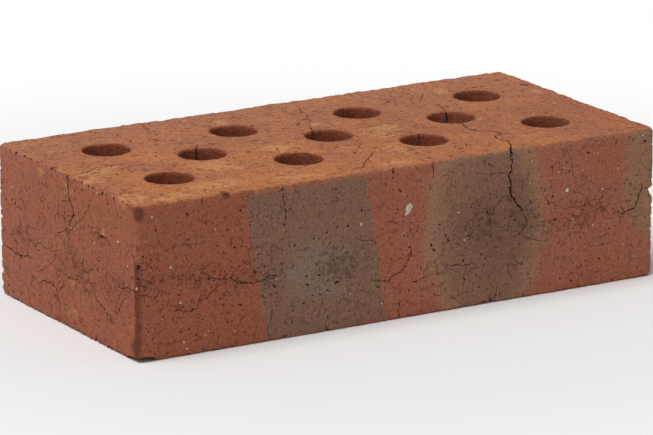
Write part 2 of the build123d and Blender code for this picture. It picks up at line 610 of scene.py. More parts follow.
# Corners that handling has worn round, in the same way
WORN_CORNERS = (
    ("left", -0.6, -0.8, (4.5, 4.5, 4.5)),
    ("left", -0.8, 65.8, (3.6, 3.2, 3.6)),
    ("left", -1.2, 22, (3.0, 26, 2.8)),
    ("front", 250.8, 65.8, (3.2, 2.8, 3.2)),
    ("front", 250.8, -0.8, (3.2, 3.4, 3.2)),
)
# Small chips along the edges as (least size, size that chance adds, how seldom it adds much,
# height for their size, longest step to the next)
FOOT_CHIPS = (0.5, 1.8, 2, 0.7, 6)
EDGE_CHIPS = (0.35, 0.8, 3, 1, 10)
FIRST_CHIP = (3, 8)
LAST_CHIP = 3
CHIP_STEP = 2.8
CHIP_STRETCH = (1, 2)
# The scuffed part of the front left edge, and the chips beside it
SCUFF_LOW = 3
SCUFF_HIGH = 46
SCUFF_WIDTH = 4
SCUFF_FADE = 6
SCUFF_CHIPS = 16
SCUFF_CHIP_STEP = (0.1, 0.9)
SCUFF_CHIP_HALVES = ((0.4, 1.0), (0.3, 0.8), (0.25, 0.45))
SCUFF_CHIP_ALONG = (0.8, 7)

# Pits on each face as (along, up, width), in millimetres
PITS = {
    "front": (
        (28.2, 22.4, 1.0), (24, 32, 1.0), (26.5, 30.7, 1.0), (23.5, 48.3, 1.3), (37, 43.7, 1.0),
        (44.5, 42, 1.0), (48, 42, 1.2), (47.2, 33.8, 1.1), (18.7, 26, 1.2), (20.8, 20.8, 1.2),
        (38.7, 15.2, 1.0), (23.3, 10.8, 1.1), (63, 23.3, 1.7), (81.8, 40.3, 1.4), (93.2, 43.7, 1.0),
        (88, 42, 1.0), (78.3, 25, 1.4), (84.5, 24.5, 1.5), (93, 20.5, 1.8), (98.8, 21.8, 1.4),
        (81, 16.5, 1.2), (84.8, 16.3, 1.3), (88.3, 17.5, 1.2), (77, 13.7, 1.5), (81.8, 13.6, 0.9),
        (112.6, 15.3, 1.5), (88.5, 6.3, 1.2), (123.5, 54.5, 1.2), (116.3, 58.2, 1.1), (67.8, 47.8, 1.1),
        (138.5, 29.5, 1.7), (158, 43, 1.2), (166, 39.5, 1.8), (146.5, 30.5, 1.5), (149.8, 32.2, 1.0),
        (154.2, 20.6, 1.6), (155.2, 12.2, 1.3), (183.5, 14.8, 1.2), (134.8, 16, 1.0), (200, 31.8, 1.7),
        (201, 26.6, 1.1), (213.3, 28, 1.1), (212.5, 22, 1.0), (202.5, 5.8, 1.1), (208.2, 3.8, 1.6),
        (222, 5.8, 0.9), (232.6, 28.4, 1.0), (238, 42.4, 1.2), (241.3, 45.2, 1.2), (244.8, 60, 1.5),
        (198, 54.7, 1.1), (216, 58.8, 1.2), (239, 61, 1.0), (187.3, 41.2, 1.4), (0.9, 40, 2.6),
        (1.0, 35, 1.6),
    ),
    "left": (
        (15, 42.3, 1.9), (6.5, 42.3, 1.4), (19.8, 20.2, 1.7), (27.8, 52, 1.2), (42, 50.2, 1.0),
        (106.7, 57.7, 1.1), (74, 61.3, 1.0), (76, 52.6, 1.0), (77, 32.3, 1.4), (86.8, 31.5, 1.5),
        (91, 32.5, 1.2), (76.5, 19.5, 1.4), (71.2, 5, 1.3), (109, 13.4, 1.2), (94.8, 14.2, 1.3),
        (35.8, 7.8, 1.0), (49.2, 10.8, 0.9), (15, 26.3, 1.0), (108.7, 30.6, 1.0), (12.2, 43.4, 1.3),
        (79.6, 47.5, 1.1), (82.4, 47.8, 1.5), (85.2, 46.4, 1.2), (87.6, 46.9, 1.0), (90.2, 45.5, 1.9),
        (93.2, 46.3, 1.3), (95.8, 45.3, 1.0), (17.2, 41.3, 1.0), (11.2, 63.6, 1.6), (15.6, 64, 1.8),
        (23.5, 64.4, 1.6), (26, 64.2, 1.2), (28.8, 64.3, 1.5), (34.8, 64.5, 1.5), (47.6, 64.5, 1.6),
        (50.8, 64.3, 1.2), (67.5, 64.4, 1.5), (73.2, 64.5, 1.2), (79.4, 64.3, 1.7), (82.6, 64.5, 1.1),
        (91.6, 64.4, 1.6), (95, 64.5, 1.2), (101.2, 64.4, 1.4), (108, 64.5, 1.3), (112.4, 64.3, 1.5),
    ),
    "top": (
        (64, 98.2, 1.4), (76, 98, 1.3), (49, 85.5, 1.3), (99, 31.5, 0.9), (82, 13, 1.4),
        (171.5, 94, 1.4), (199.8, 30, 1.3), (228.4, 8.4, 1.2), (10, 103.5, 1.1), (183.7, 104.5, 1.4),
        (233.5, 20, 1.2), (218, 56, 1.3),
    ),
}
PITS_PER_FACE = {"front": 460, "back": 160, "left": 270, "right": 80, "top": 260, "bottom": 90}
PIT_SHAPE = (0.6, 0.4, 0.45)
PIT_ROOM = 1.7
# The pits between them: least width, width that chance adds, and their shape
SMALL_PIT = 0.5
SMALL_PIT_MORE = 0.9
SMALL_PIT_SHAPE = ((0.4, 0.7), (0.3, 0.5), 0.35)
PITS_WITH_A_SECOND_SHARE = 0.4
SECOND_PIT_SIZE = 0.8
SECOND_PIT_FLATNESS = (0.4, 0.7)
# Clusters of pits on each face as (along, up, reach, count)
PIT_CLUSTERS = {
    "front": (
        (57, 32, 6, 34), (42, 32, 6, 44), (26, 33, 7, 50), (12, 34, 6, 44), (92, 28, 13, 40),
        (160, 32, 11, 34), (214, 32, 11, 30),
    ),
    "left": (
        (64, 28, 14, 50), (102, 26, 9, 44), (20, 30, 12, 34), (90, 45, 6, 16),
    ),
}
BED_PIT_STRETCH = 1.7
# Pale grains of lime and quartz on each face as (along, up, width)
GRAINS = {
    "front": (
        (205.6, 43.7, 2.5), (104.5, 43.2, 1.6), (151.8, 41.5, 1.5), (154.5, 29.3, 1.2), (15.3, 38, 1.4),
        (19.5, 22.6, 1.4), (32.5, 8.7, 1.1), (31, 7.2, 1.0), (21, 6, 1.1), (22.3, 3, 1.0),
        (44.8, 7, 0.9), (99.2, 14.5, 1.2), (114.3, 8, 1.0), (208.7, 30.5, 1.1), (219, 26.7, 1.1),
        (201.4, 52.3, 1.0), (187, 49.3, 1.0), (187.9, 58.5, 0.9), (231.5, 49.8, 1.0), (235, 15.8, 0.9),
        (240.7, 9.8, 0.9), (223.7, 41.8, 1.2), (35.5, 31.2, 1.0), (202.2, 57, 0.8), (221, 57.7, 0.8),
        (64.3, 25.9, 0.9), (7, 60, 0.9),
    ),
    "left": (
        (87, 63.3, 1.5), (84.2, 41.8, 1.2), (104, 47, 1.3), (110.5, 23.7, 1.0), (111.9, 38.7, 0.9),
        (118.6, 30.9, 1.6), (13, 49, 1.0), (34.5, 27.7, 0.9),
    ),
    "top": (
        (113, 74.5, 1.0), (204.5, 80, 1.0), (219, 46.5, 1.0), (144, 18.3, 0.9),
    ),
}
LARGE_GRAIN = ("front", 127.2, 46.2)
LARGE_GRAIN_HALVES = (1.4, 2.7, 0.5)
LARGE_GRAIN_LEAN = math.radians(-35)
GRAIN_SHAPE = (0.5, 0.4, 0.16)
GRAIN_ROOM = 2.2
SMALL_GRAIN = 0.45
SMALL_GRAIN_MORE = 0.5
SMALL_GRAIN_SHAPE = ((0.45, 0.7), 0.5, 0.2)
GRAINS_PER_FACE = {"front": 22, "back": 30, "left": 5, "right": 14, "top": 12}

# Lumps that cut or stand out: the most that each is turned, in radians, and the mean size of its points
LUMP_TURN = 6
LUMP_SIZE = 0.9
# How far outside a face the search for the real surface starts, in millimetres
PROBE_REACH = 5


def lumps(name, spots, draw, rounds, spun, uneven=0.4):
    """One mesh of closed uneven lumps, each at its own place with its own half sizes and turn."""
    mesh = bmesh.new()
    for placed, halves in spots:
        turn = Euler([draw.uniform(0, LUMP_TURN) for _ in range(3)]).to_matrix().to_4x4()
        made = bmesh.ops.create_icosphere(mesh, subdivisions=rounds, radius=1, matrix=turn)
        for vertex in made["verts"]:
            vertex.co *= draw.uniform(LUMP_SIZE - uneven, LUMP_SIZE + uneven)
        spin = Matrix.Rotation(draw.uniform(0, math.pi) if spun else 0, 4, "Z")
        placed = placed @ spin @ Matrix.Diagonal((*halves, 1))
        bmesh.ops.transform(mesh, matrix=placed, verts=made["verts"])
    data = bpy.data.meshes.new(name)
    mesh.to_mesh(data)
    mesh.free()
    piece = bpy.data.objects.new(name, data)
    bpy.context.collection.objects.link(piece)
    return piece


def scattered(counts, draw):
    """Places drawn evenly over the faces."""
    return [
        (face, draw.uniform(0, FACE_SIZES[face][0]), draw.uniform(0, FACE_SIZES[face][1]))
        for face, count in counts.items() for _ in range(count)
    ]


def clustered(clusters, draw):
    """Places drawn about the middle of each cluster."""
    return [
        (face, draw.gauss(a, reach), draw.gauss(b, reach))
        for face, a, b, reach, count in on_faces(clusters) for _ in range(count)
    ]


def clear_of(taken, places, room):
    """Those of the places that keep clear of each other, of the taken ones, the edges and the holes."""
    kept = []
    near = {face: [(a, b) for where, a, b in taken if where == face] for face in FACES}
    for face, a, b in places:
        if on_open_face(face, a, b, EDGE_ROOM) and apart(near[face], a, b, room):
            near[face].append((a, b))
            kept.append((face, a, b))
    return kept


def at(brick, face, along, up):
    """The matrix of a place on a face, brought onto the brick's real surface there."""
    placed = on_face(face) @ Matrix.Translation((along, up, 0))
    out = FACES[face][3]
    hit, spot, _, _ = brick.ray_cast(placed.translation + out * PROBE_REACH * MM, -out)
    if hit:
        placed.translation = spot
    return placed


def edge_chips(draw):
    """Small chips at uneven steps along all twelve edges, by what they bare: red skin at the foot, where
    they are old and larger, and broken clay elsewhere and beside the scuffed edge."""
    chips = {"fired_red_clay": [], "broken_clay": []}
    for face in SIDE_FACES:
        wide, high = FACE_SIZES[face]
        runs = [(wide, lambda way: (way, 0)), (wide, lambda way: (way, high))]
        if face in ("front", "back"):
            runs += [(high, lambda way: (0, way)), (high, lambda way: (wide, way))]
        for reach, place in runs:
            way = draw.uniform(*FIRST_CHIP)
            while way < reach - LAST_CHIP:
                at_foot = place(way)[1] == 0
                least, more, seldom, height, longest = FOOT_CHIPS if at_foot else EDGE_CHIPS
                size = least + more * draw.random() ** seldom
                halves = (size * draw.uniform(*CHIP_STRETCH), size * height, size)
                bared = chips["fired_red_clay" if at_foot else "broken_clay"]
                bared.append((on_face(face) @ Matrix.Translation((*place(way), 0)), halves))
                way += draw.uniform(CHIP_STEP, longest)
    step = (SCUFF_HIGH - SCUFF_LOW) / SCUFF_CHIPS
    for number in range(SCUFF_CHIPS):
        up = SCUFF_LOW + step * (number + draw.uniform(*SCUFF_CHIP_STEP))
        halves = [draw.uniform(*span) for span in SCUFF_CHIP_HALVES]
        placed = on_face("front") @ Matrix.Translation((draw.uniform(*SCUFF_CHIP_ALONG), up, 0))
        chips["broken_clay"].append((placed, halves))
    return chips


def chip(brick, materials, draw):
    """Breaks the chips out of the edges, and wears the corners round."""
    for name, listed, rounds, uneven in (
        ("broken_clay", LARGE_CHIPS, 3, 0.2),
        ("broken_clay", CHIPS, 2, 0.35),
        ("fired_red_clay", WORN_CORNERS, 3, 0.05),
    ):
        chips = [(on_face(face) @ Matrix.Translation((a, b, 0)), halves) for face, a, b, halves in listed]
        cut(brick, in_material(lumps("chips", chips, draw, rounds, False, uneven), materials, name))
    for name, chips in edge_chips(draw).items():
        cut(brick, in_material(lumps("edge_chips", chips, draw, 1, True), materials, name))


def shaped(width, shape, draw):
    """Half sizes for a width: each a fixed share of it, or one drawn from a span."""
    return [width * (draw.uniform(*share) if isinstance(share, tuple) else share) for share in shape]


def pit(brick, materials, draw):
    """Breaks the pits out of the faces, and sets pale grains in them."""
    taken = [LARGE_GRAIN] + [(face, a, b) for face, a, b, _ in on_faces(PITS) + on_faces(GRAINS)]
    pits = [
        (face, at(brick, face, a, b), shaped(width, PIT_SHAPE, draw))
        for face, a, b, width in on_faces(PITS)
    ]
    drawn = clustered(PIT_CLUSTERS, draw) + scattered(PITS_PER_FACE, draw)
    for face, a, b in clear_of(taken, drawn, PIT_ROOM):
        width = SMALL_PIT + SMALL_PIT_MORE * draw.random() ** 3
        width *= BED_PIT_STRETCH if face in BED_FACES else 1
        taken.append((face, a, b))
        pits.append((face, at(brick, face, a, b), shaped(width, SMALL_PIT_SHAPE, draw)))
    seconds = []
    for face, placed, (half, _, deep) in pits:
        if draw.random() < PITS_WITH_A_SECOND_SHARE:
            turn = draw.uniform(0, 2 * math.pi)
            shift = Matrix.Translation((half * math.cos(turn), half * math.sin(turn), 0))
            flat = half * draw.uniform(*SECOND_PIT_FLATNESS)
            seconds.append((face, placed @ shift, (half * SECOND_PIT_SIZE, flat, deep * SECOND_PIT_SIZE)))
    grains = [
        (at(brick, face, a, b), shaped(width, GRAIN_SHAPE, draw))
        for face, a, b, width in on_faces(GRAINS)
    ]
    for face, a, b in clear_of(taken, scattered(GRAINS_PER_FACE, draw), GRAIN_ROOM):
        width = SMALL_GRAIN + SMALL_GRAIN_MORE * draw.random() ** 2
        grains.append((at(brick, face, a, b), shaped(width, SMALL_GRAIN_SHAPE, draw)))
    for drawn in (pits, seconds):
        for name, faces in (("broken_clay", BED_FACES), ("pit_shadow_clay", SIDE_FACES)):
            spots = [(placed, halves) for face, placed, halves in drawn if face in faces]
            cut(brick, in_material(lumps("pits", spots, draw, 1, True), materials, name))
    large = at(brick, *LARGE_GRAIN) @ Matrix.Rotation(LARGE_GRAIN_LEAN, 4, "Z")
    large = lumps("large_grain", [(large, LARGE_GRAIN_HALVES)], draw, 2, False)
    cut(brick, in_material(large, materials, "lime_grain"), "UNION")
    cut(brick, in_material(lumps("grains", grains, draw, 1, True), materials, "lime_grain"), "UNION")


# Marks that only colour the skin: spots on each face as (along, up, half width, half height)

# Sandy dust
SANDY_SPOTS = {
    "left": (
        (60.5, 58.5, 1.6, 3.2), (65, 58.3, 1.4, 2.6), (66.2, 61.5, 1.2, 1.6), (65, 20.5, 2.4, 2),
        (60, 7.5, 1.5, 1.5), (66, 7, 3.4, 1.5), (40, 61.5, 2.2, 2.4), (91.5, 47.5, 2, 1.2),
        (64.6, 50.4, 1.0, 2.0),
    ),
    "front": (
        (212.5, 33.5, 1.4, 1.4), (217, 32, 1.0, 0.8),
    ),
    "top": (
        (97, 102, 4, 5), (207, 101, 3, 5), (130, 79, 3, 3), (96, 52, 8, 6), (150, 58, 10, 6),
        (146, 48, 7, 5), (58, 42, 10, 7), (61, 36, 9, 6), (12, 55, 9, 7), (19, 59, 6, 4), (5, 45, 5, 5),
        (5, 12, 6, 6), (22, 6, 14, 4), (125, 6, 6, 4), (138, 24, 3, 8), (243, 79, 4, 5),
        (46, 14, 14, 6), (78, 8, 10, 4),
    ),
}

# Crazing: a net of hairlines
CRAZED_SPOTS = {
    "front": (
        (212, 31, 20, 7), (55, 31, 11, 11), (14, 27, 16, 9), (150, 13, 24, 8), (122, 20, 10, 10),
        (120, 42, 12, 8), (240, 32, 8, 12),
    ),
    "left": (
        (32, 34, 24, 10), (60, 44, 14, 9), (80, 25, 24, 8), (50, 16, 14, 8),
    ),
    "top": (
        (134, 94, 12, 14), (190, 84, 10, 20), (12, 57, 14, 10),
    ),
}

# Torn skin: more pinholes and a darker, rougher grain
TORN_SPOTS = {
    "front": (
        (10, 34, 12, 6), (28, 33, 16, 6), (48, 30, 12, 6), (62, 26, 6, 6), (95, 27, 16, 8),
        (160, 32, 12, 7), (214, 32, 14, 5), (183, 38, 6, 12),
    ),
    "left": (
        (64, 27, 18, 7), (100, 26, 16, 8), (20, 28, 14, 7), (90, 45, 8, 3), (62, 50, 5, 16),
    ),
}

# Scuffs beside the scuffed edge: dark rubbed spots
SCUFFED_SPOTS = {
    "front": (
        (1.2, 61.5, 2.4, 3.6), (41, 64.2, 2, 2),
    ),
    "left": (
        (118.8, 62, 1.6, 2.6),
    ),
}

# A spot is full up to half of its half sizes and gone at one and a half of them, and goes this deep
SPOT_REACH = 1.5
SPOT_DEPTH = 3
# How far the painted shade of a hole's wall reaches over its mouth
MOUTH_SHADE = 0.7 * MM


def mark_dust_and_scuffs(brick):
    """Marks each point with its dust, flaws, scuffs and share of a hole's wall, which the finish reads, the
    last as painted shade.
    """
    count = len(brick.data.vertices)
    places = np.empty(3 * count)
    brick.data.vertices.foreach_get("co", places)
    places = np.c_[places.reshape(-1, 3), np.ones(count)]
    marks = {
        "sandy_dust": SANDY_SPOTS, "crazed": CRAZED_SPOTS, "torn": TORN_SPOTS, "scuffed": SCUFFED_SPOTS,
    }
    amounts = {}
    for name, spots in marks.items():
        amounts[name] = np.zeros(count)
        for face, a, b, half_width, half_height in on_faces(spots):
            along, up, out, _ = np.array(on_face(face).inverted()) @ places.T
            reach = np.hypot((along - a) / half_width, (up - b) / half_height)
            amount = np.clip(SPOT_REACH - reach, 0, 1) * (np.abs(out) < SPOT_DEPTH)
            amounts[name] = np.maximum(amounts[name], amount)
    along, up, out, _ = np.array(on_face("front").inverted()) @ places.T
    band = np.clip(1 - along / SCUFF_WIDTH, 0, 1) * (np.abs(out) < SPOT_DEPTH)
    band *= np.clip((SCUFF_HIGH - up) / SCUFF_FADE, 0, 1)
    amounts["scuffed"] = np.maximum(amounts["scuffed"], band)
    # The holes' walls, for their painted shade: 1 on a wall, fading out over the rim of its mouth
    holes = HOLE_PLACES.values()
    reach = np.min([np.hypot(places[:, 0] - hole.x, places[:, 1] - hole.y) for hole in holes], 0)
    amounts["hole_wall_shade"] = np.clip((HOLE_RADIUS + MOUTH_SHADE - reach) / MOUTH_SHADE, 0, 1)
    for name, amount in amounts.items():
        layer = brick.data.attributes.new(name, "FLOAT", "POINT")
        layer.data.foreach_set("value", amount)


# Finish

# The setting for a range that eases in and out
SMOOTH = {"interpolation_type": "SMOOTHSTEP"}


def linear(colour):
    """Turns an sRGB hex colour into the linear one that shaders take."""
    parts = [int(colour[start:start + 2], 16) / 255 for start in (1, 3, 5)]
    return [part / 12.92 if part <= 0.04045 else ((part + 0.055) / 1.055) ** 2.4 for part in parts] + [1]


def add(tree, kind, inputs, **settings):
    """Adds a node with its settings, and sets or links its inputs."""
    node = tree.nodes.new("ShaderNode" + kind)
    for name, value in settings.items():
        setattr(node, name, value)
    for name, value in inputs.items():
        if isinstance(value, bpy.types.NodeSocket):
            tree.links.new(value, node.inputs[name])
        else:
            node.inputs[name].default_value = value
    return node.outputs


def new_material(name, roughness):
    """A matt material of its own, with its node tree and shader, and the place in millimetres."""
    material = bpy.data.materials.new(name)
    material.use_nodes = True
    tree = material.node_tree
    shader = tree.nodes["Principled BSDF"]
    shader.inputs["Roughness"].default_value = roughness
    shader.inputs["Specular IOR Level"].default_value = 0.2
    place = add(tree, "TexCoord", {})["Object"]
    place = add(tree, "VectorMath", {0: place, "Scale": 1 / MM}, operation="SCALE")[0]
    return material, tree, shader, place


def stirred(tree, place, size, reach):
    """A place moved about by noise of a size and a reach in millimetres, for ragged shapes."""
    noise = add(tree, "TexNoise", {"Vector": place, "Scale": 1 / size, "Detail": 3})["Color"]
    return add(tree, "VectorMath", {0: noise, 1: [reach] * 3, 2: place}, operation="MULTIPLY_ADD")[0]


def hairlines(tree, place, clump, width, crazed):
    """Broken hairlines between clumps of clay, sizes in millimetres, mostly where the clay is crazed."""
    bent = stirred(tree, place, 0.8 * clump, 0.5 * clump)
    gap = add(tree, "TexVoronoi", {"Vector": bent, "Scale": 1 / clump}, feature="DISTANCE_TO_EDGE")[0]
    edge = width / clump
    line = add(tree, "MapRange", {"Value": gap, "From Min": edge, "From Max": 0.3 * edge})[0]
    patch = add(tree, "TexNoise", {"Vector": place, "Scale": 1.2 / clump, "Detail": 2})[0]
    patch = add(tree, "Math", {0: crazed, 1: 0.12, 2: patch}, operation="MULTIPLY_ADD")[0]
    patch = add(tree, "MapRange", {"Value": patch, "From Min": 0.56, "From Max": 0.66}, **SMOOTH)[0]
    return add(tree, "Math", {0: line, 1: patch}, operation="MULTIPLY")[0]


def specks(tree, place, spacing, width, share):
    """Ragged specks up to a width in millimetres, in a share of the cells of a spacing."""
    bent = stirred(tree, place, 0.8 * width, 0.55 * width)
    cells = add(tree, "TexVoronoi", {"Vector": bent, "Scale": 1 / spacing})
    chance = add(tree, "SeparateColor", {0: cells["Color"]})
    chosen = add(tree, "Math", {0: chance[0], 1: share}, operation="LESS_THAN")[0]
    size = add(tree, "MapRange", {"Value": chance[1], "To Min": 0.4})[0]
    reach = add(tree, "Math", {0: cells["Distance"], 1: size}, operation="DIVIDE")[0]
    edge = width / 2 / spacing
    spot = add(tree, "MapRange", {"Value": reach, "From Min": edge, "From Max": 0.75 * edge})[0]
    return add(tree, "Math", {0: spot, 1: chosen}, operation="MULTIPLY")[0]


def tinted(tree, base, mask, strength, colour):
    """A colour laid over another where a mask is, at a strength."""
    share = add(tree, "Math", {0: mask, 1: strength}, operation="MULTIPLY")[0]
    return add(tree, "Mix", {0: share, 6: base, 7: linear(colour)}, data_type="RGBA")[2]


def broken_up(tree, name, patterns, low, high):
    """A mark on the skin, broken up at its edges by patterns of a strength each."""
    amount = add(tree, "Attribute", {}, attribute_name=name)["Fac"]
    for pattern, strength in patterns:
        amount = add(tree, "Math", {0: pattern, 1: strength, 2: amount}, operation="MULTIPLY_ADD")[0]
    return add(tree, "MapRange", {"Value": amount, "From Min": low, "From Max": high}, **SMOOTH)[0]


def from_middle(tree, place, middle, halves):
    """How far a place is from an oval's middle, 1 at its rim. A half size of 0 leaves that way out."""
    scale = [1 / half if half else 0 for half in halves]
    shift = [-spot * share for spot, share in zip(middle, scale)]
    shifted = add(tree, "Mapping", {"Vector": place, "Location": shift, "Scale": scale})[0]
    return add(tree, "VectorMath", {0: shifted}, operation="LENGTH")["Value"]


def within(tree, mask, edges):
    """A mask narrowed by soft edges: each a value, with where it starts to show and where it is full."""
    for value, (start, full) in edges:
        side = add(tree, "MapRange", {"Value": value, "From Min": start, "From Max": full}, **SMOOTH)[0]
        mask = add(tree, "Math", {0: mask, 1: side}, operation="MULTIPLY")[0]
    return mask


# Kiln marks on the front, in millimetres along and up it
FIRST_MARK_LEFT = (58.4, 62)
FIRST_MARK_RIGHT = (118.8, 116)
FIRST_MARK_TOP = (65, 61)
FIRST_MARK_FOOT = (-1, 2)
FIRST_MARK_LEAN = 0.17
SECOND_MARK_MIDDLE = 165
SECOND_MARK_FRINGE = (34, 26)
SECOND_MARK_EDGE = (29, 18)
SECOND_MARK_BULGE = 8
THIRD_MARK_EDGE = (230, 238)
THIRD_MARK_FOOT = (12, 26)
THIRD_MARK_MIDDLE = 48
THIRD_MARK_BOW = -0.011
# Ovals as (middle, half sizes), in millimetres from the middle of the brick's underside
ASHEN_OVAL = ((-40, 0, 26), (17, 0, 14))
CORE_OVAL = ((47, 0, 32), (24, 0, 30))
CORE_EDGE = (1.2, 0.3)
SANDY_OVAL = ((-60.5, -54, 0), (110, 60, 0))


def kiln_marked(tree, skin, place, wander):
    """The skin with the front's three kiln marks, grey-brown where smoke and the next brick shaded it."""
    where = add(tree, "SeparateXYZ", {0: place})
    along = add(tree, "Math", {0: where["X"], 1: LENGTH_MM / 2}, operation="ADD")[0]
    height = where["Z"]
    front = add(
        tree, "MapRange",
        {"Value": where["Y"], "From Min": 2.4 - WIDTH_MM / 2, "From Max": 0.9 - WIDTH_MM / 2},
    )[0]

    # First: sharp-edged, between leaning lines, with an ashen middle
    lean = add(tree, "Math", {0: height, 1: FIRST_MARK_LEAN, 2: along}, operation="MULTIPLY_ADD")[0]
    lean = add(tree, "Math", {0: wander, 1: 4.5, 2: lean}, operation="MULTIPLY_ADD")[0]
    rise = add(tree, "Math", {0: wander, 1: 6, 2: height}, operation="MULTIPLY_ADD")[0]
    mark = within(tree, front, (
        (lean, FIRST_MARK_LEFT), (lean, FIRST_MARK_RIGHT), (rise, FIRST_MARK_TOP), (rise, FIRST_MARK_FOOT),
    ))
    ashen = from_middle(tree, place, *ASHEN_OVAL)
    ashen = add(tree, "Math", {0: wander, 1: 1.2, 2: ashen}, operation="MULTIPLY_ADD")[0]
    ashen = add(tree, "MapRange", {"Value": ashen, "From Min": 1.3, "From Max": 0.3}, **SMOOTH)[0]
    marked = add(tree, "Mix", {0: ashen, 6: linear("#83624f"), 7: linear("#856e60")}, data_type="RGBA")[2]
    skin = add(tree, "Mix", {0: mark, 6: skin, 7: marked}, data_type="RGBA")[2]

    # Second: a soft barrel shape with a tan fringe, darkest right of its middle and warm at its foot
    off_mark = add(tree, "Math", {0: along, 1: SECOND_MARK_MIDDLE}, operation="SUBTRACT")[0]
    off_mark = add(tree, "Math", {0: off_mark}, operation="ABSOLUTE")[0]
    bulge = add(
        tree, "MapRange", {"Value": height, "From Min": 4, "From Max": 68, "To Min": -1, "To Max": 1},
        clamp=False,
    )[0]
    bulge = add(tree, "Math", {0: bulge, 1: 2}, operation="POWER")[0]
    off_mark = add(tree, "Math", {0: bulge, 1: SECOND_MARK_BULGE, 2: off_mark}, operation="MULTIPLY_ADD")[0]
    off_mark = add(tree, "Math", {0: wander, 1: 9, 2: off_mark}, operation="MULTIPLY_ADD")[0]
    for edge, colour in ((SECOND_MARK_FRINGE, "#9a7056"), (SECOND_MARK_EDGE, "#8a6450")):
        skin = tinted(tree, skin, within(tree, front, ((off_mark, edge),)), 1, colour)
    core = from_middle(tree, place, *CORE_OVAL)
    core = add(tree, "Math", {0: wander, 1: 0.9, 2: core}, operation="MULTIPLY_ADD")[0]
    skin = tinted(tree, skin, within(tree, front, ((core, CORE_EDGE),)), 0.85, "#775745")

    # Third: a dusty strip at the right end, which fades towards its foot
    bow = add(tree, "Math", {0: height, 1: THIRD_MARK_MIDDLE}, operation="SUBTRACT")[0]
    bow = add(tree, "Math", {0: bow, 1: 2}, operation="POWER")[0]
    strip = add(tree, "Math", {0: bow, 1: THIRD_MARK_BOW, 2: along}, operation="MULTIPLY_ADD")[0]
    strip = add(tree, "Math", {0: wander, 1: 5, 2: strip}, operation="MULTIPLY_ADD")[0]
    mark = within(tree, front, ((strip, THIRD_MARK_EDGE), (height, THIRD_MARK_FOOT)))
    return tinted(tree, skin, mark, 1, "#946c54")


def torn_bed(tree, place, broad):
    """The colour of a bed: orange-brown, sandier at the front left and paler at the back."""
    sandy = from_middle(tree, place, *SANDY_OVAL)
    sandy = add(
        tree, "MapRange",
        {"Value": sandy, "From Min": 1.5, "From Max": 0.2, "To Min": -0.12, "To Max": 0.16},
    )[0]
    sandy = add(tree, "Math", {0: sandy, 1: broad}, operation="ADD")[0]
    sandy = add(tree, "MapRange", {"Value": sandy, "From Min": 0.36, "From Max": 0.66})[0]
    torn = add(tree, "Mix", {0: sandy, 6: linear("#9b6045"), 7: linear("#ad6d44")}, data_type="RGBA")[2]
    depth = add(tree, "SeparateXYZ", {0: place})["Y"]
    depth = add(tree, "MapRange", {"Value": depth, "From Min": -10, "From Max": WIDTH_MM / 2})[0]
    return tinted(tree, torn, depth, 0.3, "#b27a5c")


